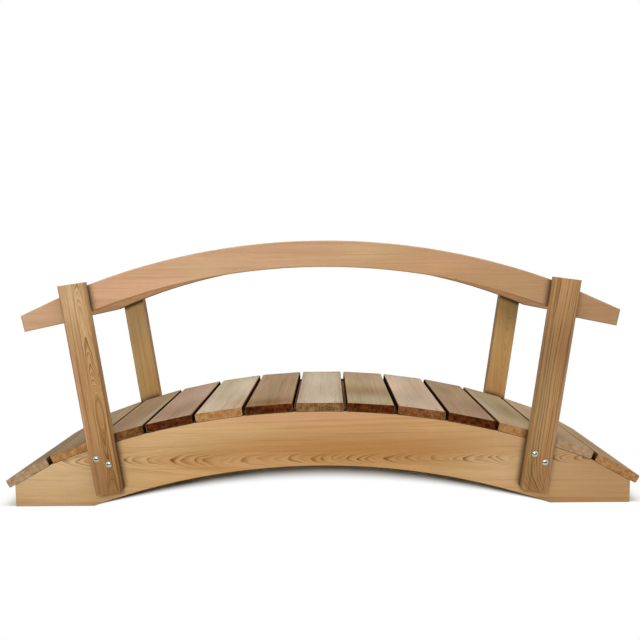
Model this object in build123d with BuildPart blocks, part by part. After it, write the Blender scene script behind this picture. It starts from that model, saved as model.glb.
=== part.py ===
from build123d import *
from math import cos, radians, sin, sqrt, tan
import os

# An arched garden footbridge: two curved side beams carry a deck of planks, and posts bolted outside
# the beams carry two curved handrails. Sizes are in millimetres. X runs along the span, Y across it,
# with the front at -Y, and Z is up. The origin is on the ground under the middle of the bridge.

# Sawn stock
board_thickness = 38.0
plank_width = 139.7
plank_thickness = 25.4
post_width = 74.0

# Deck
deck_width = 558.8
plank_gap = 9.5
planks_on_arc = 11

# Side beams
crown_height = 282.0
crown_radius = 2180.0
beam_depth = 164.0
end_cut_run = 113.0
end_height = 66.0
end_plank_gap = 8.0

# Posts
post_lean = 8.0
post_station = 637.0
post_below_bolts = 98.0
post_above_rail = 17.0

# Bolts through each post and its beam
bolt_diameter = 8.0
bolt_clearance = 0.7
bolt_spacing_across = 33.0
bolt_spacing_along = 21.0
bolt_drop = 41.0

# Handrails
rail_height = 782.0
rail_radius = 1937.0
rail_depth = 76.2
tail_start = 10.0
tail_slope = 11.7
tail_run = 119.0
tip_depth = 48.0

# Eased edges: planed flat on the curved boards, rounded on the straight ones
beam_easing = 1.5
rail_easing = 2.5
plank_easing = 4.5
post_easing = 3.0


def arc_height(x, crown, radius):
    """Height of a circular arc with its crown over the origin."""
    return crown - radius + sqrt(radius**2 - x**2)


def lean_crossing(x, z, crown, radius):
    """Point where the line that leans outwards through (x, z) meets an arc."""
    run, rise = sin(radians(post_lean)), cos(radians(post_lean))
    down = z - (crown - radius)
    half = x * run + down * rise
    reach = sqrt(half**2 - (x**2 + down**2 - radius**2)) - half
    return x + reach * run, z + reach * rise


# Where the curve of the beams ends and the straight end cut starts
plank_pitch = plank_width + plank_gap
cut_angle = planks_on_arc * plank_pitch / 2 / crown_radius
cut_x = crown_radius * sin(cut_angle)
cut_z = arc_height(cut_x, crown_height, crown_radius)
beam_end_x = cut_x + end_cut_run

# The underside is an arc about the same centre, and meets the ground at the feet
soffit_height = crown_height - beam_depth
soffit_radius = crown_radius - beam_depth
foot_x = sqrt(soffit_radius**2 - (soffit_radius - soffit_height) ** 2)

# The middle of a post's bolt pair, on the post's centre line
bolt_z = arc_height(post_station, crown_height, crown_radius) - bolt_drop

# The centre line meets the handrail's top edge, where the straight taper starts
taper_x, taper_z = lean_crossing(post_station, bolt_z, rail_height, rail_radius)
post_rise = (taper_z - bolt_z) / cos(radians(post_lean)) + post_above_rail
post_length = post_below_bolts + post_rise
post_middle = post_rise - post_length / 2
post_centre_x = post_station + post_middle * sin(radians(post_lean))
post_centre_z = bolt_z + post_middle * cos(radians(post_lean))

# The handrail's underside, with its straight tail
rail_soffit = rail_height - rail_depth
rail_soffit_radius = rail_radius - rail_depth
soffit_on_post = lean_crossing(post_station, bolt_z, rail_soffit, rail_soffit_radius)
kink_x = soffit_on_post[0] + post_width / 2 / cos(radians(post_lean)) + tail_start
kink_z = arc_height(kink_x, rail_soffit, rail_soffit_radius)
tip_low = (kink_x + tail_run, kink_z - tail_run * tan(radians(tail_slope)))
tip_high = (
    tip_low[0] + tip_depth * sin(radians(tail_slope)),
    tip_low[1] + tip_depth * cos(radians(tail_slope)),
)


def mirrored(point):
    return -point[0], point[1]


def side_face(side, distance):
    """A vertical plane that faces outwards, with x to the right and y up as seen from outside."""
    return Plane(origin=(0, side * distance, 0), x_dir=(-side, 0, 0), z_dir=(0, side, 0))


def bolt_points(end):
    """The bolt pair of the post at one end, upper left and lower right as seen from outside."""
    across, along = bolt_spacing_across / 2, bolt_spacing_along / 2
    run, rise = end * sin(radians(post_lean)), cos(radians(post_lean))
    middle_x = end * post_station
    return [
        (middle_x - across * rise + along * run, bolt_z + across * run + along * rise),
        (middle_x + across * rise - along * run, bolt_z - across * run - along * rise),
    ]


os.makedirs("parts", exist_ok=True)
beam_face = deck_width / 2
post_face = beam_face + board_thickness
bolt_hole = (bolt_diameter + bolt_clearance) / 2

for side_name, side in (("front", -1), ("rear", 1)):
    # A side beam, cut from one wide board
    outer_face = side_face(side, beam_face)
    with BuildPart(outer_face) as beam:
        with BuildSketch(outer_face):
            with BuildLine():
                end_top = (beam_end_x, end_height)
                end_foot = (beam_end_x, 0)
                cut = (cut_x, cut_z)
                foot = (foot_x, 0)
                ThreePointArc(mirrored(cut), (0, crown_height), cut)
                Polyline(cut, end_top, end_foot, foot)
                ThreePointArc(foot, (0, soffit_height), mirrored(foot))
                Polyline(mirrored(foot), mirrored(end_foot), mirrored(end_top), mirrored(cut))
            make_face()
        extrude(amount=-board_thickness)
        chamfer(beam.edges().filter_by(Axis.Y, reverse=True), beam_easing)
        with Locations(*bolt_points(-1), *bolt_points(1)):
            Hole(bolt_hole)
    beam.part.label = f"beam_{side_name}"
    export_step(beam.part, f"parts/{beam.part.label}.step")

    # The handrail, in line with the beam below it
    with BuildPart(outer_face) as rail:
        with BuildSketch(outer_face):
            with BuildLine():
                taper = (taper_x, taper_z)
                kink = (kink_x, kink_z)
                ThreePointArc(mirrored(taper), (0, rail_height), taper)
                Polyline(taper, tip_high, tip_low, kink)
                ThreePointArc(kink, (0, rail_soffit), mirrored(kink))
                Polyline(mirrored(kink), mirrored(tip_low), mirrored(tip_high), mirrored(taper))
            make_face()
        extrude(amount=-board_thickness)
        chamfer(rail.edges().filter_by(Axis.Y, reverse=True), rail_easing)
    rail.part.label = f"handrail_{side_name}"
    export_step(rail.part, f"parts/{rail.part.label}.step")

    # The two posts, all four drilled alike
    front_of_post = side_face(side, post_face)
    for end in (-1, 1):
        with BuildPart(front_of_post) as post:
            with BuildSketch(front_of_post):
                with Locations((end * post_centre_x, post_centre_z)):
                    Rectangle(post_width, post_length, rotation=-end * post_lean)
            extrude(amount=-board_thickness)
            long_edges = post.edges().sort_by(SortBy.LENGTH)[-4:]
            fillet(long_edges, post_easing)
            with Locations(*bolt_points(end)):
                Hole(bolt_hole)
        end_name = "right" if -side * end > 0 else "left"
        post.part.label = f"post_{side_name}_{end_name}"
        export_step(post.part, f"parts/{post.part.label}.step")

# The deck: planks on the curve touch it along their middle, and one plank lies on each end cut
end_slope = (cut_z - end_height) / end_cut_run
end_run = 1 / sqrt(1 + end_slope**2)
end_reach = (end_plank_gap + plank_width / 2) * end_run
middle = planks_on_arc // 2
seats = []
for step in range(-middle, middle + 1):
    angle = step * plank_pitch / crown_radius
    x = crown_radius * sin(angle)
    seats.append((x, arc_height(x, crown_height, crown_radius), cos(angle), -sin(angle)))
for end in (-1, 1):
    x = end * (cut_x + end_reach)
    seat = (x, cut_z - end_reach * end_slope, end_run, -end * end_slope * end_run)
    seats.insert(0 if end < 0 else len(seats), seat)

for number, (x, z, run, rise) in enumerate(seats, start=1):
    with BuildPart(Plane(origin=(x, 0, z), x_dir=(run, 0, rise), z_dir=(-rise, 0, run))) as plank:
        bottom_up = (Align.CENTER, Align.CENTER, Align.MIN)
        Box(plank_width, deck_width, plank_thickness, align=bottom_up)
        fillet(plank.edges().filter_by(Axis.Y), plank_easing)
    plank.part.label = f"plank_{number:02d}"
    export_step(plank.part, f"parts/{plank.part.label}.step")
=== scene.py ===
from math import cos, pi, radians, sin, sqrt

import bmesh
import bpy
from mathutils import Matrix, Vector


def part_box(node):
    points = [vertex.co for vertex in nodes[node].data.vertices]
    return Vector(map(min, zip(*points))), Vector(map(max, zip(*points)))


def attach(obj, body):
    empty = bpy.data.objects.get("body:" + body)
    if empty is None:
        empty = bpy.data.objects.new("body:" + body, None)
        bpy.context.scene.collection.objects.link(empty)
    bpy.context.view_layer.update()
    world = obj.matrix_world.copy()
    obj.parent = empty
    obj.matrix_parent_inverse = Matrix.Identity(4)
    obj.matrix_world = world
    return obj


# An arched garden footbridge of red cedar. The frame gives every board at its real size and place.
# This script gives each board its own cut of wood, and adds the bolts and screws that hold them.
# Lengths are in metres. X runs along the span, the front is at -Y, and Z is up.

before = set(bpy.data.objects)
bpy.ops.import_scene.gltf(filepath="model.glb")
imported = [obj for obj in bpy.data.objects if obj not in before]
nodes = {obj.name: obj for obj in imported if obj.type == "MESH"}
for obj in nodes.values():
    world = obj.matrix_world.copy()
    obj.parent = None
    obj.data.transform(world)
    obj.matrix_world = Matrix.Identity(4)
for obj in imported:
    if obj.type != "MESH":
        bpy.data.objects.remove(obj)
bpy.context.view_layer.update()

# The view of the photograph, with angles in degrees and the focal length in millimetres
CAMERA_PLACE = (0.031, -2.304, 0.735)
CAMERA_TURN = 0.78
CAMERA_DIP = 5.17
CAMERA_ROLL = -0.70
FOCAL_LENGTH = 39.3

# Sizes of the bridge that place the bolts, the screws and the shadow
BOARD_THICKNESS = 0.038
PLANK_THICKNESS = 0.0254
BEAM_FACE = 0.2794
BEAM_DEPTH = 0.164
CROWN_HEIGHT = 0.282
CROWN_RADIUS = 2.180
SOFFIT_HEIGHT = CROWN_HEIGHT - BEAM_DEPTH
SOFFIT_RADIUS = CROWN_RADIUS - BEAM_DEPTH
POST_LEAN = radians(8)
POST_STATION = 0.637
BOLT_DROP = 0.041
BOLT_SPACING = (0.033, 0.021)
RAIL_HEIGHT = 0.782
RAIL_RADIUS = 1.937
RAIL_DEPTH = 0.0762


# Camera

def make_camera():
    """A camera at the photograph's place, turned, dipped and rolled about its own view axis."""
    camera = bpy.data.objects.new("camera", bpy.data.cameras.new("camera"))
    bpy.context.scene.collection.objects.link(camera)
    turn = Matrix.Rotation(radians(CAMERA_TURN), 3, "Z")
    dip = Matrix.Rotation(pi / 2 - radians(CAMERA_DIP), 3, "X")
    roll = Matrix.Rotation(radians(CAMERA_ROLL), 3, "Z")
    camera.location = CAMERA_PLACE
    camera.rotation_euler = (turn @ dip @ roll).to_euler()
    camera.data.lens = FOCAL_LENGTH
    camera.data.clip_start = 0.05
    camera.data.clip_end = 100
    bpy.context.scene.camera = camera


make_camera()
bpy.context.scene.view_settings.view_transform = "Standard"


# Node trees, a step at a time

class Tree:
    """Builds a material's or the world's nodes. A value may be a number, a colour or a socket."""

    def __init__(self, owner):
        owner.use_nodes = True
        self.nodes = owner.node_tree.nodes
        self.links = owner.node_tree.links
        self.nodes.clear()

    def put(self, socket, value):
        if isinstance(value, bpy.types.NodeSocket):
            self.links.new(value, socket)
        elif value is not None:
            socket.default_value = value

    def add(self, kind, inputs=(), **settings):
        node = self.nodes.new(kind)
        for name, setting in settings.items():
            setattr(node, name, setting)
        for key, value in dict(inputs).items():
            self.put(node.inputs[key], value)
        return node

    def math(self, operation, a, b=None, c=None, clamp=False):
        node = self.add("ShaderNodeMath", operation=operation, use_clamp=clamp)
        for socket, value in zip(node.inputs, (a, b, c)):
            self.put(socket, value)
        return node.outputs[0]

    def times(self, a, b):
        return self.math("MULTIPLY", a, b)

    def vector(self, operation, a, b=None):
        node = self.add("ShaderNodeVectorMath", operation=operation)
        self.put(node.inputs[0], a)
        self.put(node.inputs[1], b)
        return node.outputs["Value"] if operation in ("DOT_PRODUCT", "LENGTH") else node.outputs[0]

    def join(self, x, y, z):
        return self.add("ShaderNodeCombineXYZ", {0: x, 1: y, 2: z}).outputs[0]

    def split(self, vector):
        return self.add("ShaderNodeSeparateXYZ", {0: vector}).outputs

    def noise(self, vector, detail=2.0, roughness=0.5):
        inputs = {"Vector": vector, "Scale": 1.0, "Detail": detail, "Roughness": roughness}
        return self.add("ShaderNodeTexNoise", inputs)

    def step(self, value, low, high):
        """0 below low and 1 above high, with a smooth rise between them."""
        inputs = {"Value": value, "From Min": low, "From Max": high}
        return self.add("ShaderNodeMapRange", inputs, interpolation_type="SMOOTHSTEP").outputs[0]

    def spread(self, value, low, high):
        """Takes 0 to 1 to low to high."""
        inputs = {"Value": value, "To Min": low, "To Max": high}
        return self.add("ShaderNodeMapRange", inputs, clamp=True).outputs[0]

    def mix(self, factor, a, b, blend="MIX"):
        node = self.add("ShaderNodeMix", data_type="RGBA", blend_type=blend)
        self.put(node.inputs[0], factor)
        self.put(node.inputs[6], a)
        self.put(node.inputs[7], b)
        return node.outputs[2]


def colour(code):
    """A linear colour from the six digits of a display colour."""
    parts = [int(code[i:i + 2], 16) / 255 for i in (0, 2, 4)]
    return [((p + 0.055) / 1.055) ** 2.4 if p > 0.04045 else p / 12.92 for p in parts] + [1.0]


# Cedar

class Cut:
    """How one board is sawn from its log, and how its wood looks.

    seed keeps its patterns apart from other boards', and tones names its colours.
    pith is where the log's centre runs past the board, across its width and behind its outer face.
    slope is how fast the pith comes nearer to the face along the board, and sway how far it wanders.
    ring is the width of a year's growth.
    lines, bands, streaks, clouds and grain say how strong the ring lines, the broad bands, the streaks
    of resin, the soft clouds and the fibres are.
    fade is how far from the pith's line the ring lines stay clear.
    gloss is the strength of its shine.
    swirls are places where the rings bulge: along, across, reach both ways and height.
    stains are soft patches of another tint: along, across, reach both ways, tint and strength.
    end names the colours of its sawn ends, and the last argument says how far its narrow edges go to the
    darker one, as painted shade.
    """

    def __init__(self, seed, tones, pith, slope=0.0, sway=0.003, ring=0.0022, lines=0.5, bands=0.5,
                 streaks=0.15, clouds=0.16, grain=0.14, fade=1.0, gloss=0.2, swirls=(), stains=(),
                 end="brown", sides=0.0):
        self.seed = seed
        self.tones = tones
        self.pith = pith
        self.slope = slope
        self.sway = sway
        self.ring = ring
        self.lines = lines
        self.bands = bands
        self.streaks = streaks
        self.clouds = clouds
        self.grain = grain
        self.fade = fade
        self.gloss = gloss
        self.swirls = swirls
        self.stains = stains
        self.end = end
        self.sides = sides


# Each tone: early wood, late wood, the tint of its broad bands, and the tint of its patches
TONES = {
    "golden": ("c5a06f", "6b3d10", "ab7d46", "c69c73"),
    "rose": ("c9a383", "96653c", "b98f6c", "cda68b"),
    "russet": ("b58b68", "7c5230", "a2774f", "b48a68"),
    "tan": ("bf9664", "4f2d0e", "976d3c", "bb8f66"),
    "olive": ("d4ae77", "85581f", "c89758", "caaa73"),
    "pale": ("ccbba2", "7d6142", "b79e7f", "bcb092"),
    "pink": ("bea389", "62432b", "a5876e", "b79f8e"),
    "taupe": ("b09476", "58391e", "937257", "a48e6e"),
    "moss": ("b49c7c", "5a4122", "99805e", "a99978"),
    "shell": ("ccb69f", "7d6142", "bc9f84", "c1a98f"),
    "grey": ("b29a82", "5f462e", "94785e", "a49678"),
    "buff": ("c6ab8a", "74552f", "b29571", "b9a587"),
}
# The light and the dark of each kind of sawn end
ENDS = {
    "red": ("6e3a1c", "260f05"),
    "brown": ("94683e", "452810"),
    "russet": ("986641", "542d15"),
    "dun": ("9c7953", "5c3f26"),
    "tan": ("c0966a", "916538"),
    "pale": ("c4a88c", "97795c"),
}
# The tints of the stains
TINTS = {
    "blush": "cb9c7a",
    "straw": "d3b48d",
    "amber": "a36f35",
    "honey": "ac8862",
    "sand": "c9ae86",
    "umber": "7a5430",
    "sage": "8b7a56",
    "silver": "b5a894",
    "mauve": "ab8b78",
}
# The dark brown of the painted shade in the corners where parts meet
PAINTED_SHADE = "2e1503"

# Scales of the patterns, per metre along the grain, across it and out of the face
WANDER = (1.9, 7.0, 7.0)
RIPPLE = (14.0, 45.0, 45.0)
BREAKS = (26.0, 120.0, 120.0)
STREAKS = (3.5, 170.0, 170.0)
FIBRES = (22.0, 1500.0, 1500.0)
FLECKS = (60.0, 2600.0, 2600.0)
CLOUDS = (2.4, 11.0, 11.0)
RESIN = (2.2, 150.0, 150.0)
SAW_MARKS = (300.0, 420.0, 110.0)
TORN_MARKS = (200.0, 55.0, 75.0)

# How far a board's patterns move for each step of its seed, and the steps that set the resin apart
SEED_STEP = (7.13, 3.71, 5.37)
RESIN_SEED = 40

# What is left of a hump's height, or of the ring lines' clearness, at one reach from the middle
HUMP_FALL = 0.35

# How far the rings ripple, across the board and out of its face
RIPPLE_REACH = (0.0025, 0.0020)

# How far wear reaches over an edge, how far the painted shade reaches out of a corner, the height
# above the ground from which that shade shows in full, and the depth of the relief
WORN_EDGE = 0.004
CORNER_REACH = 0.026
UNSHADED_FOOT = 0.04
RELIEF_DEPTH = 0.0006


def grain_place(tree, axes, centre):
    """A point's place in its board: along the grain, across the width and out of the face."""
    turn = Matrix(axes).transposed().to_euler()
    place = tree.add("ShaderNodeTexCoord").outputs["Object"]
    inputs = {"Vector": place, "Location": centre, "Rotation": turn}
    return tree.add("ShaderNodeMapping", inputs, vector_type="TEXTURE").outputs[0]


def shifted(tree, place, scales, seed):
    """The place at a pattern's own scales, moved by the seed so that no two boards look alike."""
    scaled = tree.vector("MULTIPLY", place, scales)
    return tree.vector("ADD", scaled, [seed * step for step in SEED_STEP])


def hump(tree, along, across, at, over, reach, width):
    """A smooth round hump, 1 at its top and close to 0 two reaches away."""
    u = tree.math("DIVIDE", tree.math("SUBTRACT", along, at), reach)
    v = tree.math("DIVIDE", tree.math("SUBTRACT", across, over), width)
    far = tree.math("ADD", tree.times(u, u), tree.times(v, v))
    return tree.math("POWER", HUMP_FALL, far)


def ring_count(tree, place, cut):
    """How many growth rings lie between the pith and a point, and how clear they are there."""
    along, across, out = tree.split(place)
    wander = tree.noise(shifted(tree, place, WANDER, cut.seed), 2.0, 0.45).outputs["Color"]
    ripple = tree.noise(shifted(tree, place, RIPPLE, cut.seed), 1.0).outputs["Color"]
    wander = tree.split(tree.vector("SUBTRACT", wander, (0.5, 0.5, 0.5)))
    ripple = tree.split(tree.vector("SUBTRACT", ripple, (0.5, 0.5, 0.5)))
    y = tree.math("SUBTRACT", across, cut.pith[0])
    y = tree.math("MULTIPLY_ADD", wander[1], 4 * cut.sway, y)
    y = tree.math("MULTIPLY_ADD", ripple[1], RIPPLE_REACH[0], y)
    z = tree.math("ADD", out, cut.pith[1])
    z = tree.math("MULTIPLY_ADD", along, -cut.slope, z)
    z = tree.math("MULTIPLY_ADD", wander[2], 5 * cut.sway, z)
    z = tree.math("MULTIPLY_ADD", ripple[2], RIPPLE_REACH[1], z)
    for *spot, height in cut.swirls:
        z = tree.math("MULTIPLY_ADD", hump(tree, along, across, *spot), height, z)
    radius = tree.vector("LENGTH", tree.join(y, z, 0.0))
    count = tree.math("DIVIDE", radius, cut.ring)
    uneven = tree.join(tree.times(count, 0.4), cut.seed, 0.0)
    uneven = tree.noise(uneven, 1.0).outputs[0]
    beside = tree.math("DIVIDE", y, cut.fade)
    clear = tree.math("POWER", HUMP_FALL, tree.times(beside, beside))
    return tree.math("MULTIPLY_ADD", uneven, 2.2, count), clear


def by_years(tree, count, along, years, length, seed, detail, roughness=0.5):
    """Noise that changes from ring to ring, and slowly along the grain."""
    place = tree.join(tree.times(count, years), tree.times(along, length), seed)
    return tree.noise(place, detail, roughness).outputs[0]


def growth(tree, place, cut):
    """The rings' thin dark late-wood lines, and the bands and patches of good and poor years."""
    count, clear = ring_count(tree, place, cut)
    along = tree.split(place)[0]
    year = tree.math("FRACT", count)
    line = tree.times(tree.step(year, 0.25, 0.90), tree.step(year, 1.0, 0.92))
    strength = tree.step(by_years(tree, count, along, 0.8, 2.0, cut.seed, 1.0), 0.32, 0.66)
    broken = tree.noise(shifted(tree, place, BREAKS, cut.seed), 2.0).outputs[0]
    line = tree.times(line, tree.spread(strength, 0.2, 1.0))
    line = tree.times(line, tree.spread(tree.step(broken, 0.35, 0.62), 0.6, 1.0))
    line = tree.times(line, tree.spread(clear, 0.25, 1.0))
    band = tree.step(by_years(tree, count, along, 0.16, 0.9, cut.seed, 3.0, 0.6), 0.38, 0.66)
    patch = tree.step(by_years(tree, count, along, 0.05, 0.7, cut.seed, 2.0, 0.6), 0.42, 0.62)
    return line, band, patch


def face_colour(tree, place, cut, rings, streak, fibre, cloud):
    """A planed face: rings, stains and resin, made lighter and darker by fibres, flecks and clouds."""
    early, late, band_tint, patch_tint = [colour(code) for code in TONES[cut.tones]]
    line, band, patch = rings
    along, across, _ = tree.split(place)
    fleck = tree.noise(shifted(tree, place, FLECKS, cut.seed), 0.0).outputs[0]
    fleck = tree.step(fleck, 0.70, 0.80)
    resin = tree.noise(shifted(tree, place, RESIN, cut.seed + RESIN_SEED), 1.0).outputs[0]
    resin = tree.step(resin, 0.58, 0.70)

    wood = tree.mix(tree.times(band, cut.bands), early, band_tint)
    wood = tree.mix(tree.times(patch, 0.6), wood, patch_tint)
    for *spot, tint, strength in cut.stains:
        stain = tree.times(hump(tree, along, across, *spot), strength)
        stain = tree.times(stain, tree.spread(cloud, 0.3, 1.7))
        wood = tree.mix(stain, wood, colour(TINTS[tint]))
    wood = tree.mix(tree.times(line, cut.lines), wood, late)
    wood = tree.mix(tree.times(resin, cut.streaks), wood, late)

    light = tree.spread(streak, 1 - cut.grain, 1 + cut.grain)
    light = tree.times(light, tree.spread(fibre, 0.90, 1.10))
    light = tree.times(light, tree.spread(cloud, 1 - cut.clouds, 1 + cut.clouds))
    light = tree.times(light, tree.spread(fleck, 1.0, 0.80))
    return tree.mix(1.0, wood, tree.join(light, light, light), "MULTIPLY")


def painted_side_shade(tree, wood, normal, across, cut):
    """Painted shade: darkens the narrow edges of a board, and the faces that look down."""
    late = colour(TONES[cut.tones][1])
    end_dark = colour(ENDS[cut.end][1])
    sideways = tree.math("ABSOLUTE", tree.vector("DOT_PRODUCT", normal, across))
    wood = tree.mix(tree.times(tree.step(sideways, 0.45, 0.9), cut.sides), wood, end_dark)
    # Painted shade on the faces that look down
    under = tree.step(tree.vector("DOT_PRODUCT", normal, (0.0, 0.0, -1.0)), 0.2, 0.8)
    return tree.mix(tree.times(under, 0.6), wood, late)


def sawn_end(tree, place, cut, line):
    """The colour of a sawn end, dark and crossed by the marks of the saw, and the depth of the marks."""
    light, dark = [colour(code) for code in ENDS[cut.end]]
    saw = tree.noise(shifted(tree, place, SAW_MARKS, cut.seed), 3.0, 0.7).outputs[0]
    torn = tree.noise(shifted(tree, place, TORN_MARKS, cut.seed), 4.0, 0.7).outputs[0]
    marks = tree.math("ADD", tree.times(saw, 0.4), tree.times(torn, 0.6))
    wood = tree.mix(tree.step(marks, 0.36, 0.66), dark, light)
    return tree.mix(tree.times(line, 0.45), wood, dark), marks


def worn_edges_and_corner_shade(tree, base, geometry, cloud, pale):
    """Pale worn edges, and painted shade in the corners where boards meet, though not on the ground."""
    bevel = tree.add("ShaderNodeBevel", {"Radius": WORN_EDGE}, samples=4).outputs[0]
    edge = tree.math("SUBTRACT", 1.0, tree.vector("DOT_PRODUCT", geometry["Normal"], bevel))
    edge = tree.step(edge, 0.01, 0.16)
    edge = tree.times(edge, tree.step(cloud, 0.35, 0.65))
    base = tree.mix(tree.times(edge, 0.35), base, pale)
    # Painted shade: the wood darkens towards dark brown in the corners where parts meet
    open_air = tree.add("ShaderNodeAmbientOcclusion", {"Distance": CORNER_REACH}, samples=8)
    off_ground = tree.step(tree.split(geometry["Position"])[2], 0.0, UNSHADED_FOOT)
    corner_shade = tree.times(tree.step(open_air.outputs["AO"], 0.95, 0.38), off_ground)
    return tree.mix(tree.times(corner_shade, 0.95), base, colour(PAINTED_SHADE)), corner_shade


def cedar(name, axes, centre, cut):
    """Cedar with growth rings round a real pith, so that every face and end shows its own figure."""
    material = bpy.data.materials.new(name)
    tree = Tree(material)
    place = grain_place(tree, axes, centre)
    geometry = tree.add("ShaderNodeNewGeometry").outputs
    normal = geometry["Normal"]
    streak = tree.noise(shifted(tree, place, STREAKS, cut.seed), 3.0, 0.6).outputs[0]
    fibre = tree.noise(shifted(tree, place, FIBRES, cut.seed), 2.0).outputs[0]
    cloud = tree.noise(shifted(tree, place, CLOUDS, cut.seed), 3.0, 0.55).outputs[0]

    rings = growth(tree, place, cut)
    line = rings[0]
    wood = face_colour(tree, place, cut, rings, streak, fibre, cloud)
    wood = painted_side_shade(tree, wood, normal, axes[1], cut)
    end_wood, marks = sawn_end(tree, place, cut, line)
    facing = tree.math("ABSOLUTE", tree.vector("DOT_PRODUCT", normal, axes[0]))
    end_grain = tree.step(facing, 0.55, 0.85)
    base = tree.mix(end_grain, wood, end_wood)
    pale = colour(TONES[cut.tones][0])
    base, corner_shade = worn_edges_and_corner_shade(tree, base, geometry, cloud, pale)

    # Late wood stands proud, and fibres and saw marks are cut into the face
    relief = tree.times(line, 0.5)
    relief = tree.math("MULTIPLY_ADD", fibre, 0.6, relief)
    relief = tree.math("MULTIPLY_ADD", streak, 0.5, relief)
    relief = tree.math("MULTIPLY_ADD", tree.times(marks, end_grain), 4.0, relief)
    bump = tree.add("ShaderNodeBump", {"Strength": 0.5, "Distance": RELIEF_DEPTH, "Height": relief})
    roughness = tree.spread(tree.math("ADD", streak, tree.times(end_grain, 0.5)), 0.50, 0.74)
    roughness = tree.math("ADD", roughness, tree.times(corner_shade, 0.5), clamp=True)

    inputs = {"Base Color": base, "Roughness": roughness, "Normal": bump.outputs[0]}
    shader = tree.add("ShaderNodeBsdfPrincipled", inputs)
    shader.inputs["Specular IOR Level"].default_value = cut.gloss
    tree.add("ShaderNodeOutputMaterial", {"Surface": shader.outputs[0]})
    return material


# Boards

def flat_normal(node, towards):
    """The normal of a node's largest flat face on the side that faces towards."""
    faces = [f for f in node.data.polygons if f.normal.dot(Vector(towards)) > 0.6]
    return max(faces, key=lambda f: f.area).normal.copy()


def middle_of(name):
    low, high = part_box(name)
    return (low + high) / 2


def finish_board(name, along, out, cut):
    """Gives a board its cedar. along is the grain's direction and out its outer face's."""
    out = Vector(out).normalized()
    across = out.cross(Vector(along)).normalized()
    along = across.cross(out)
    node = nodes[name]
    material = cedar(f"cedar_{name}", (along, across, out), middle_of(name), cut)
    node.data.materials.clear()
    node.data.materials.append(material)
    node.data.shade_flat()


BEAMS = {
    "beam_front": Cut(
        1.0, "golden", (-0.003, 0.055), slope=0.036, sway=0.002, ring=0.0012, lines=1.0, bands=0.65,
        grain=0.07, fade=0.013, gloss=0.12, end="tan",
        stains=((0.0, 0.13, 0.40, 0.05, "blush", 0.7), (-0.80, -0.05, 0.25, 0.1, "straw", 1.0),
                (0.58, 0.0, 0.2, 0.1, "straw", 0.9), (-0.42, 0.07, 0.25, 0.06, "straw", 0.6),
                (0.12, 0.03, 0.5, 0.045, "amber", 0.7), (0.85, 0.0, 0.2, 0.2, "honey", 0.6))),
    "beam_rear": Cut(2.0, "golden", (-0.01, 0.030), slope=-0.03, ring=0.0014, lines=0.8, end="tan"),
}
RAILS = {
    "handrail_front": Cut(
        3.0, "rose", (0.40, 0.03), ring=0.0022, lines=0.4, bands=0.5, grain=0.10,
        stains=((0.85, -0.1, 0.15, 0.2, "umber", 0.35), (0.5, 0.0, 0.6, 0.6, "honey", 0.75),
                (-0.55, 0.0, 0.1, 0.05, "blush", 0.4), (-0.33, 0.05, 0.07, 0.03, "sand", 0.5),
                (-0.12, 0.13, 0.12, 0.03, "blush", 0.5), (0.14, 0.1, 0.1, 0.03, "sand", 0.4),
                (0.37, 0.06, 0.12, 0.03, "blush", 0.4))),
    "handrail_rear": Cut(4.0, "russet", (0.36, 0.05), ring=0.0024, lines=0.4, bands=0.5),
}
POSTS = {
    "post_front_left": Cut(
        5.0, "tan", (-0.018, 0.016), slope=-0.035, sway=0.003, ring=0.0009, lines=0.8, bands=0.8,
        streaks=0.4, sides=0.1,
        swirls=((-0.07, -0.02, 0.05, 0.012, -0.01), (-0.25, -0.014, 0.06, 0.03, 0.005)),
        stains=((0.1, 0.034, 0.45, 0.014, "blush", 0.7), (0.3, 0.0, 0.15, 0.06, "straw", 0.6),
                (-0.3, 0.0, 0.14, 0.1, "umber", 0.5))),
    "post_front_right": Cut(
        6.0, "tan", (0.10, 0.10), sway=0.005, ring=0.0052, lines=0.7, bands=0.5, streaks=0.6,
        swirls=((-0.38, -0.01, 0.08, 0.05, -0.08),),
        stains=((-0.3, 0.0, 0.15, 0.1, "umber", 0.45), (0.12, 0.0, 0.12, 0.1, "umber", 0.5),
                (-0.05, 0.02, 0.2, 0.02, "sage", 0.5), (0.0, -0.034, 0.4, 0.01, "mauve", 0.35))),
    "post_rear_left": Cut(
        7.0, "olive", (0.10, 0.04), ring=0.0026, bands=0.8, sides=0.3,
        stains=((-0.2, 0.02, 0.2, 0.03, "amber", 0.4), (0.15, 0.0, 0.1, 0.1, "straw", 0.5))),
    "post_rear_right": Cut(
        8.0, "olive", (0.01, 0.05), slope=0.04, sway=0.006, ring=0.0018, lines=0.45, sides=0.3,
        stains=((-0.1, 0.0, 0.2, 0.05, "amber", 0.5), (0.2, 0.02, 0.1, 0.03, "sage", 0.3))),
}
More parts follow.
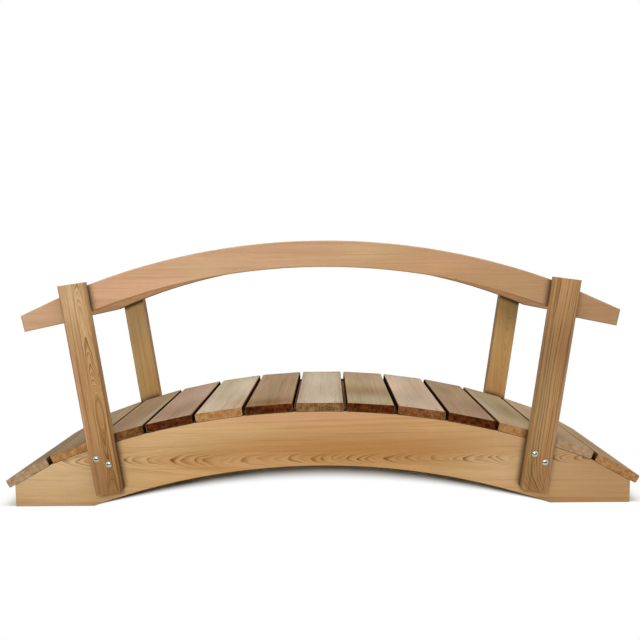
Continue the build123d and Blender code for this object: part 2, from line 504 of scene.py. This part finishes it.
# Each plank's tone, its ends and its stains, from the left to the right of the photograph
PLANKS = (
    ("grey", "pale", ((0.1, 0.02, 0.15, 0.05, "sage", 0.3),)),
    ("moss", "tan", ((-0.1, 0.0, 0.15, 0.05, "mauve", 0.5), (0.15, 0.03, 0.1, 0.04, "silver", 0.4))),
    ("taupe", "brown", ((0.05, -0.03, 0.15, 0.04, "sage", 0.5), (-0.2, 0.03, 0.1, 0.05, "mauve", 0.5),
                        (-0.15, -0.062, 0.25, 0.012, "silver", 0.7))),
    ("pink", "red", ((0.15, 0.03, 0.15, 0.05, "mauve", 0.6), (-0.18, 0.0, 0.12, 0.08, "umber", 0.4))),
    ("pale", "tan", ((0.15, 0.03, 0.15, 0.04, "sage", 0.22), (-0.2, -0.05, 0.1, 0.03, "honey", 0.5),
                     (0.0, 0.0, 0.1, 0.04, "silver", 0.3))),
    ("taupe", "red", ((0.15, 0.04, 0.15, 0.04, "mauve", 0.5), (0.1, -0.03, 0.1, 0.04, "sage", 0.35),
                      (-0.24, 0.0, 0.07, 0.1, "umber", 0.65))),
    ("pale", "dun", ((0.0, 0.064, 0.6, 0.012, "mauve", 0.7), (0.0, -0.064, 0.6, 0.012, "mauve", 0.7),
                     (0.0, 0.0, 0.4, 0.1, "silver", 0.4))),
    ("moss", "red", ((-0.08, 0.01, 0.09, 0.1, "umber", 0.4), (-0.21, 0.0, 0.06, 0.08, "silver", 0.4),
                     (0.2, 0.0, 0.1, 0.05, "mauve", 0.4))),
    ("shell", "russet", ((-0.15, 0.03, 0.1, 0.05, "silver", 0.5), (0.1, -0.03, 0.15, 0.04, "mauve", 0.3))),
    ("taupe", "red", ((0.12, 0.03, 0.08, 0.04, "sage", 0.65), (0.24, 0.0, 0.06, 0.08, "mauve", 0.5),
                      (-0.15, 0.0, 0.15, 0.06, "mauve", 0.3))),
    ("moss", "tan", ((0.0, -0.02, 0.12, 0.035, "sage", 0.6), (-0.05, 0.06, 0.25, 0.015, "silver", 0.9),
                     (-0.22, -0.02, 0.07, 0.06, "sand", 0.6))),
    ("buff", "pale", ((0.1, 0.0, 0.12, 0.05, "honey", 0.4), (-0.15, 0.03, 0.1, 0.04, "sage", 0.3))),
    ("buff", "tan", ((0.0, 0.0, 0.2, 0.05, "honey", 0.5),)),
)

FIRST_PLANK_SEED = 10.0


def plank_cut(number):
    """A plank's cut. Its pith and slope change with its number, as if each came from its own log."""
    tones, end, stains = PLANKS[number - 1]
    pith = (0.05 * sin(2.4 * number), 0.06 + 0.03 * cos(1.7 * number))
    # Its narrow edges take much painted shade, which darkens the gaps between planks
    return Cut(FIRST_PLANK_SEED + number, tones, pith, slope=0.03 * sin(number), sway=0.005,
               lines=0.12, bands=0.3, streaks=0.2, clouds=0.24, grain=0.11, gloss=0.0,
               stains=stains, end=end, sides=0.85)


def finish_boards():
    """Gives every board its cedar, with its grain along its length."""
    for name, cut in {**BEAMS, **RAILS}.items():
        side = -1 if name.endswith("front") else 1
        finish_board(name, (-side, 0, 0), (0, side, 0), cut)
    for name, cut in POSTS.items():
        side = -1 if "front" in name else 1
        wide = flat_normal(nodes[name], (1, 0, 0))
        up = Vector((-wide.z, 0, wide.x))
        finish_board(name, up, (0, side, 0), cut)
    for number in range(1, len(PLANKS) + 1):
        name = f"plank_{number:02d}"
        finish_board(name, (0, 1, 0), flat_normal(nodes[name], (0, 0, 1)), plank_cut(number))


finish_boards()


# Bolts, nuts, washers and screws

ROUND_STEPS = 32
DOME_STEPS = 8
SHARP_ANGLE = radians(35)

# Carriage bolts. An easing is how much is taken off an edge, across and up
BOLT_RADIUS = 0.0040
BOLT_LENGTH = 0.0889
HEAD_RADIUS = 0.00915
HEAD_HEIGHT = 0.0044
HEAD_RIM = 0.0006
HEAD_EASING = (0.0003, 0.0002)
THREAD_LENGTH = 0.018
THREAD_PITCH = 0.00125
THREAD_DEPTH = 0.0007
THREAD_SLICES = 5

# Washers and nuts
WASHER_RADIUS = 0.0110
WASHER_BORE = 0.0044
WASHER_THICKNESS = 0.0016
WASHER_FOOT_EASING = (0.0002, 0.0003)
WASHER_TOP_EASING = 0.0004
NUT_FLATS = 0.0127
NUT_HEIGHT = 0.00675
NUT_STEPS = 36
NUT_TURNED_HEIGHT = 0.0011
NUT_TURNED_WIDTH = 0.985
NUT_CORNER_EASING = 0.0001
NUT_CLEARANCE = 0.0001
NUT_COUNTERSINK = 0.0006

# Wood screws. The profile gives radius and height as shares of the head's
SCREW_RADIUS = 0.0040
SCREW_HEIGHT = 0.0009
SCREW_PROFILE = ((1.0, 0.0), (1.0, 0.55), (0.95, 0.85), (0.82, 1.0))
CROSS_REACH = 0.0024
CROSS_WIDTH = 0.0009
CROSS_TAPER = 0.8
CROSS_FLOOR = 0.2
DECK_SCREW_ACROSS = 0.045
RAIL_SCREW_REACH = 0.018

# Patterns on the metal, per metre: spots, tarnish, and scratches along and across the bridge
SPOTS = (420.0, 420.0, 420.0)
TARNISH = (90.0, 90.0, 90.0)
SCRATCHES = (350.0, 350.0, 5200.0)
CROSS_SCRATCHES = (4300.0, 600.0, 500.0)
SCRATCH_DEPTH = 0.0001
METAL_CORNER_REACH = 0.003


class Pieces:
    """Gathers small shapes of one kind into one mesh. Each shape is drawn along Z, then placed."""

    def __init__(self):
        self.mesh = bmesh.new()

    def grid(self, place, rows):
        """Joins rows of points into a skin. A row of one point closes the skin to a tip."""
        made = [[self.mesh.verts.new(place @ Vector(point)) for point in row] for row in rows]
        for low, high in zip(made, made[1:]):
            for i in range(max(len(low), len(high))):
                corners = [low[i % len(low)], low[(i + 1) % len(low)],
                           high[(i + 1) % len(high)], high[i % len(high)]]
                self.mesh.faces.new(list(dict.fromkeys(corners)))

    def turned(self, place, profile):
        """A shape of revolution. profile lists radius and height; radius 0 is a tip on the axis."""
        rows = []
        for radius, height in profile:
            angles = [2 * pi * i / ROUND_STEPS for i in range(ROUND_STEPS)] if radius else [0.0]
            rows.append([(radius * cos(a), radius * sin(a), height) for a in angles])
        self.grid(place, rows)

    def thread(self, place, start, length):
        """A helical thread round the shank, from start along Z."""
        rows = []
        for row in range(int(length / THREAD_PITCH * THREAD_SLICES) + 1):
            height = start + row * THREAD_PITCH / THREAD_SLICES
            points = []
            for i in range(ROUND_STEPS):
                turn = i / ROUND_STEPS
                phase = (row / THREAD_SLICES - turn) % 1.0
                radius = BOLT_RADIUS - THREAD_DEPTH * abs(2 * phase - 1)
                points.append((radius * cos(2 * pi * turn), radius * sin(2 * pi * turn), height))
            rows.append(points)
        self.grid(place, [[(0, 0, start)]] + rows + [[(0, 0, rows[-1][0][2])]])

    def finish(self, name, material):
        """Makes the gathered mesh one piece of the bridge."""
        bmesh.ops.recalc_face_normals(self.mesh, faces=self.mesh.faces)
        mesh = bpy.data.meshes.new(name)
        self.mesh.to_mesh(mesh)
        self.mesh.free()
        mesh.materials.append(material)
        mesh.shade_smooth()
        mesh.set_sharp_from_angle(angle=SHARP_ANGLE)
        piece = bpy.data.objects.new(name, mesh)
        bpy.context.scene.collection.objects.link(piece)
        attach(piece, "root")


def standing(place, up, spin):
    """A frame at place whose Z axis is up, spun about that axis."""
    turn = Vector(up).to_track_quat("Z", "Y").to_matrix().to_4x4()
    return Matrix.Translation(place) @ turn @ Matrix.Rotation(spin, 4, "Z")


def head_profile():
    """The profile of a bolt's head: a low dome on a short upright rim, from its foot to its tip."""
    rise = HEAD_HEIGHT - HEAD_RIM
    ball = (HEAD_RADIUS**2 + rise**2) / (2 * rise)
    inset, lift = HEAD_EASING
    profile = [(0.0, 0.0), (HEAD_RADIUS - inset, 0.0), (HEAD_RADIUS, lift), (HEAD_RADIUS, HEAD_RIM)]
    for step in range(1, DOME_STEPS):
        radius = HEAD_RADIUS * (1 - step / DOME_STEPS)
        profile.append((radius, HEAD_RIM + sqrt(ball**2 - radius**2) - (ball - rise)))
    profile.append((0.0, HEAD_HEIGHT))
    return profile


def washer_profile():
    """The profile of a washer, a closed ring: punched out, so one face is rounder than the other."""
    inset, lift = WASHER_FOOT_EASING
    top = WASHER_THICKNESS
    return [(WASHER_BORE, 0.0), (WASHER_RADIUS - inset, 0.0), (WASHER_RADIUS, lift),
            (WASHER_RADIUS, top - WASHER_TOP_EASING), (WASHER_RADIUS - WASHER_TOP_EASING, top),
            (WASHER_BORE, top), (WASHER_BORE, 0.0)]


def add_bolt(bolts, washers, nuts, place, outward, spin):
    """A carriage bolt with its head on the post, and its washer and nut behind the beam."""
    head = standing(place, outward, spin)
    bolts.turned(head, head_profile())
    shank_end = THREAD_LENGTH - BOLT_LENGTH
    bolts.turned(head, [(0.0, shank_end), (BOLT_RADIUS, shank_end), (BOLT_RADIUS, 0.0), (0.0, 0.0)])
    bolts.thread(head, -BOLT_LENGTH, THREAD_LENGTH)
    back = head @ Matrix.Translation((0, 0, -2 * BOARD_THICKNESS)) @ Matrix.Rotation(pi, 4, "X")
    washers.turned(back, washer_profile())
    add_nut(nuts, back @ Matrix.Translation((0, 0, WASHER_THICKNESS)))


def add_nut(nuts, place):
    """A hexagon nut whose corners are turned down at both ends."""
    flat = NUT_FLATS / 2
    widest = flat / cos(pi / 6) - NUT_CORNER_EASING
    angles = [2 * pi * i / NUT_STEPS for i in range(NUT_STEPS)]
    turned = NUT_TURNED_HEIGHT
    rows = []
    for height, limit in ((0.0, flat * NUT_TURNED_WIDTH), (turned, widest),
                          (NUT_HEIGHT - turned, widest), (NUT_HEIGHT, flat * NUT_TURNED_WIDTH)):
        points = []
        for angle in angles:
            from_flat = (angle + pi / 6) % (pi / 3) - pi / 6
            reach = min(flat / cos(from_flat), limit)
            points.append((reach * cos(angle), reach * sin(angle), height))
        rows.append(points)
    bore = BOLT_RADIUS + NUT_CLEARANCE
    for radius, height in ((bore + NUT_COUNTERSINK, NUT_HEIGHT),
                           (bore, NUT_HEIGHT - NUT_COUNTERSINK), (bore, 0.0)):
        rows.append([(radius * cos(angle), radius * sin(angle), height) for angle in angles])
    nuts.grid(place, rows + [rows[0]])


def add_screw(screws, place, up, spin):
    """The head of a wood screw: a flat disc with a cross-shaped recess."""
    head = standing(place, up, spin)
    half = CROSS_WIDTH / 2
    middle = (half + CROSS_REACH) / 2
    arm = [(half, half), (half, middle), (half, CROSS_REACH),
           (0.0, CROSS_REACH), (-half, CROSS_REACH), (-half, middle)]
    cross = [(x * cos(t) - y * sin(t), x * sin(t) + y * cos(t))
             for t in (0, pi / 2, pi, 3 * pi / 2) for x, y in arm]
    turns = [pi / 4 + 2 * pi * i / len(cross) for i in range(len(cross))]
    rim = [(cos(turn), sin(turn)) for turn in turns]
    rows = [[(0, 0, 0)]]
    for radius, height in SCREW_PROFILE:
        rows.append([(x * radius * SCREW_RADIUS, y * radius * SCREW_RADIUS, height * SCREW_HEIGHT)
                     for x, y in rim])
    rows.append([(x, y, SCREW_HEIGHT) for x, y in cross])
    floor = SCREW_HEIGHT * CROSS_FLOOR
    rows.append([(x * CROSS_TAPER, y * CROSS_TAPER, floor) for x, y in cross])
    rows.append([(0, 0, floor)])
    screws.grid(head, rows)


def bolt_height():
    """Height of the middle of a post's bolt pair, a set drop below the beams' top."""
    return CROWN_HEIGHT - CROWN_RADIUS + sqrt(CROWN_RADIUS**2 - POST_STATION**2) - BOLT_DROP


def bolt_places(side):
    """Where the bolts of one side enter their posts, the same pairs as the frame's holes."""
    across, along = BOLT_SPACING[0] / 2, BOLT_SPACING[1] / 2
    height = bolt_height()
    places = []
    for end in (-1, 1):
        run, rise = end * sin(POST_LEAN), cos(POST_LEAN)
        for way in (-1, 1):
            x = end * POST_STATION + way * (across * rise - along * run)
            z = height - way * (across * run + along * rise)
            places.append((-side * x, side * (BEAM_FACE + BOARD_THICKNESS), z))
    return places


def rail_joint():
    """Where a post's centre line crosses the middle of its handrail's depth, as x and z."""
    run, rise = sin(POST_LEAN), cos(POST_LEAN)
    radius = RAIL_RADIUS - RAIL_DEPTH / 2
    up = bolt_height() - (RAIL_HEIGHT - RAIL_RADIUS)
    half = POST_STATION * run + up * rise
    reach = sqrt(half**2 - (POST_STATION**2 + up**2 - radius**2)) - half
    return POST_STATION + reach * run, bolt_height() + reach * rise


def worn_metal(name, tone, dark, metallic, roughness):
    """Metal with fine scratches, dull spots, and painted shade in the corners where it meets the wood."""
    material = bpy.data.materials.new(name)
    tree = Tree(material)
    place = tree.add("ShaderNodeTexCoord").outputs["Object"]
    spots = tree.noise(tree.vector("MULTIPLY", place, SPOTS), 3.0, 0.6).outputs[0]
    tarnish = tree.noise(tree.vector("MULTIPLY", place, TARNISH), 2.0).outputs[0]
    scratch = tree.noise(tree.vector("MULTIPLY", place, SCRATCHES), 1.0).outputs[0]
    other = tree.noise(tree.vector("MULTIPLY", place, CROSS_SCRATCHES), 1.0).outputs[0]
    scratch = tree.math("MAXIMUM", tree.step(scratch, 0.62, 0.74), tree.step(other, 0.64, 0.76))
    shade = tree.step(tree.math("ADD", spots, tree.times(tarnish, 0.6)), 0.70, 1.05)
    base = tree.mix(tree.times(shade, 0.45), colour(tone), colour(dark))
    # Painted shade: the metal darkens towards dark brown in the corners where it meets the wood
    open_air = tree.add("ShaderNodeAmbientOcclusion", {"Distance": METAL_CORNER_REACH}, samples=6)
    corner_shade = tree.step(open_air.outputs["AO"], 0.75, 0.30)
    base = tree.mix(tree.times(corner_shade, 0.8), base, colour(PAINTED_SHADE))
    rough = tree.math("MULTIPLY_ADD", spots, 0.16, roughness - 0.08)
    rough = tree.math("MULTIPLY_ADD", scratch, 0.12, rough)
    relief = tree.math("MULTIPLY_ADD", scratch, -0.6, tree.times(spots, 0.5))
    bump = tree.add("ShaderNodeBump", {"Strength": 0.12, "Distance": SCRATCH_DEPTH, "Height": relief})
    inputs = {"Base Color": base, "Roughness": rough, "Normal": bump.outputs[0]}
    shader = tree.add("ShaderNodeBsdfPrincipled", inputs)
    shader.inputs["Metallic"].default_value = metallic
    tree.add("ShaderNodeOutputMaterial", {"Surface": shader.outputs[0]})
    return material


def add_bolts(side_name, side, material):
    """One side's four bolts with their washers and nuts, each stopped at its own turn."""
    bolts, washers, nuts = Pieces(), Pieces(), Pieces()
    for count, place in enumerate(bolt_places(side)):
        add_bolt(bolts, washers, nuts, place, (0, side, 0), 0.9 * count + side)
    bolts.finish(f"bolts_{side_name}", material)
    washers.finish(f"washers_{side_name}", material)
    nuts.finish(f"nuts_{side_name}", material)


def add_deck_screws(side_name, side, material):
    """Two screws through each plank into the beam, each stopped at its own turn."""
    screws = Pieces()
    for number in range(1, len(PLANKS) + 1):
        name = f"plank_{number:02d}"
        up = flat_normal(nodes[name], (0, 0, 1))
        along_deck = Vector((up.z, 0, -up.x))
        for way in (-1, 1):
            place = middle_of(name) + up * PLANK_THICKNESS / 2 + along_deck * way * DECK_SCREW_ACROSS
            place.y = side * (BEAM_FACE - BOARD_THICKNESS / 2)
            add_screw(screws, place, up, 1.7 * number + way)
    screws.finish(f"deck_screws_{side_name}", material)


def add_rail_screws(side_name, side, material):
    """Two screws through the handrail into each post, in line with the post."""
    screws = Pieces()
    joint_x, joint_z = rail_joint()
    for end in (-1, 1):
        for way in (-1, 1):
            x = end * (joint_x + way * RAIL_SCREW_REACH * sin(POST_LEAN))
            z = joint_z + way * RAIL_SCREW_REACH * cos(POST_LEAN)
            place = (x, side * (BEAM_FACE - BOARD_THICKNESS), z)
            add_screw(screws, place, (0, -side, 0), 0.7 * end + 1.1 * way)
    screws.finish(f"rail_screws_{side_name}", material)


def add_hardware():
    zinc = worn_metal("zinc_plate", "c4c5c6", "7f7b74", 1.0, 0.13)
    coated = worn_metal("coated_screw", "a88a60", "7d6240", 0.3, 0.5)
    for side_name, side in (("front", -1), ("rear", 1)):
        add_bolts(side_name, side, zinc)
        add_deck_screws(side_name, side, coated)
        add_rail_screws(side_name, side, coated)


add_hardware()


# Floor and lights

FLOOR_REACH = 30.0
FLOOR_PAINT = (0.92, 0.86, 0.65, 1)
WHITE = (1, 1, 1, 1)
BLACK = (0.01, 0.01, 0.01, 1)

# Where the painted edge of the shadow starts under the arch, for each metre of the arch's height
# there, and where it ends beside and behind the bridge. Each pair is the start and the end of a soft edge
SHADOW_SLOPES = (1.85, 3.14)
SHADOW_SIDES = (0.88, 1.00)
SHADOW_BACK = (0.28, 0.60)
LOWEST_ARCH = 0.002

# The dark card's place in front of the bridge, its reach to each side and its height
CARD_PLACE = -0.80
CARD_REACH = 1.6
CARD_HEIGHT = 0.30

# Each light's place, width and height, and power. They all point at the deck
LIGHTS = {
    "front_box": ((-0.4, -3.4, 1.55), (1.6, 0.7), 49),
    "top_box": ((0.2, -0.6, 3.2), (2.2, 2.0), 78),
}
LIGHT_TARGET = (0, 0, 0.2)
SOFT_LIGHT = 0.22


def area_light(name, place, size, power):
    lamp = bpy.data.lights.new(name, "AREA")
    lamp.shape = "RECTANGLE"
    lamp.size, lamp.size_y = size
    lamp.energy = power
    light = bpy.data.objects.new(name, lamp)
    bpy.context.scene.collection.objects.link(light)
    light.location = place
    away = Vector(place) - Vector(LIGHT_TARGET)
    light.rotation_euler = away.to_track_quat("Z", "Y").to_euler()


def flat_piece(name, corners):
    """A flat sheet with four corners, and its empty material."""
    mesh = bpy.data.meshes.new(name)
    mesh.from_pydata(corners, [], [(0, 1, 2, 3)])
    piece = bpy.data.objects.new(name, mesh)
    bpy.context.scene.collection.objects.link(piece)
    material = bpy.data.materials.new(name)
    mesh.materials.append(material)
    return piece, Tree(material)


def outside_painted_shadow(tree):
    """0 where the floor shows the bridge's shadow, and 1 where it is plain white.

    The shadow's front edge under the arch is painted, with the floor white in front of it: it starts at
    a distance behind the front beam that grows with the height of the arch above.
    """
    x, y, _ = tree.split(tree.add("ShaderNodeTexCoord").outputs["Object"])
    drop = tree.math("DIVIDE", tree.times(x, x), 2 * SOFFIT_RADIUS)
    arch = tree.math("MAXIMUM", tree.math("SUBTRACT", SOFFIT_HEIGHT, drop), LOWEST_ARCH)
    depth = tree.math("DIVIDE", tree.math("ADD", y, BEAM_FACE), arch)
    before = tree.math("SUBTRACT", 1.0, tree.step(depth, *SHADOW_SLOPES))
    beside = tree.step(tree.math("ABSOLUTE", x), *SHADOW_SIDES)
    behind = tree.step(y, *SHADOW_BACK)
    return tree.math("MAXIMUM", tree.math("MAXIMUM", beside, behind), before)


def make_floor():
    """A white floor that the camera sees as white, but for the shadow inside its painted edge, and that is
    clear from below.
    """
    reach = FLOOR_REACH
    corners = [(-reach, -reach, 0), (reach, -reach, 0), (reach, reach, 0), (-reach, reach, 0)]
    floor, tree = flat_piece("floor", corners)
    to_camera = tree.add("ShaderNodeLightPath").outputs["Is Camera Ray"]
    paint = tree.add("ShaderNodeBsdfDiffuse", {"Color": FLOOR_PAINT}).outputs[0]
    glow = tree.add("ShaderNodeEmission", {"Color": WHITE, "Strength": 1.0}).outputs[0]
    white = tree.times(to_camera, outside_painted_shadow(tree))
    above = tree.add("ShaderNodeMixShader", {0: white, 1: paint, 2: glow}).outputs[0]
    below = tree.add("ShaderNodeNewGeometry").outputs["Backfacing"]
    clear = tree.add("ShaderNodeBsdfTransparent").outputs[0]
    both = tree.add("ShaderNodeMixShader", {0: below, 1: above, 2: clear}).outputs[0]
    tree.add("ShaderNodeOutputMaterial", {"Surface": both})


def make_dark_card():
    """A dark card, low in front of the bridge, that shows only in reflections."""
    corners = [(-CARD_REACH, CARD_PLACE, 0), (CARD_REACH, CARD_PLACE, 0),
               (CARD_REACH, CARD_PLACE, CARD_HEIGHT), (-CARD_REACH, CARD_PLACE, CARD_HEIGHT)]
    card, tree = flat_piece("dark_card", corners)
    paint = tree.add("ShaderNodeBsdfDiffuse", {"Color": BLACK}).outputs[0]
    tree.add("ShaderNodeOutputMaterial", {"Surface": paint})
    card.visible_camera = False
    card.visible_diffuse = False
    card.visible_shadow = False


def make_world():
    """Soft light from all round. The camera and reflections see plain white instead."""
    world = bpy.data.worlds.new("studio")
    bpy.context.scene.world = world
    tree = Tree(world)
    path = tree.add("ShaderNodeLightPath").outputs
    seen = tree.math("MAXIMUM", path["Is Camera Ray"], path["Is Glossy Ray"])
    seen = tree.math("MAXIMUM", seen, path["Is Transmission Ray"])
    soft = tree.add("ShaderNodeBackground", {"Color": WHITE, "Strength": SOFT_LIGHT}).outputs[0]
    white = tree.add("ShaderNodeBackground", {"Color": WHITE, "Strength": 1.0}).outputs[0]
    both = tree.add("ShaderNodeMixShader", {0: seen, 1: soft, 2: white}).outputs[0]
    tree.add("ShaderNodeOutputWorld", {"Surface": both})


make_floor()
make_world()
make_dark_card()
for name, (place, box, power) in LIGHTS.items():
    area_light(name, place, box, power)
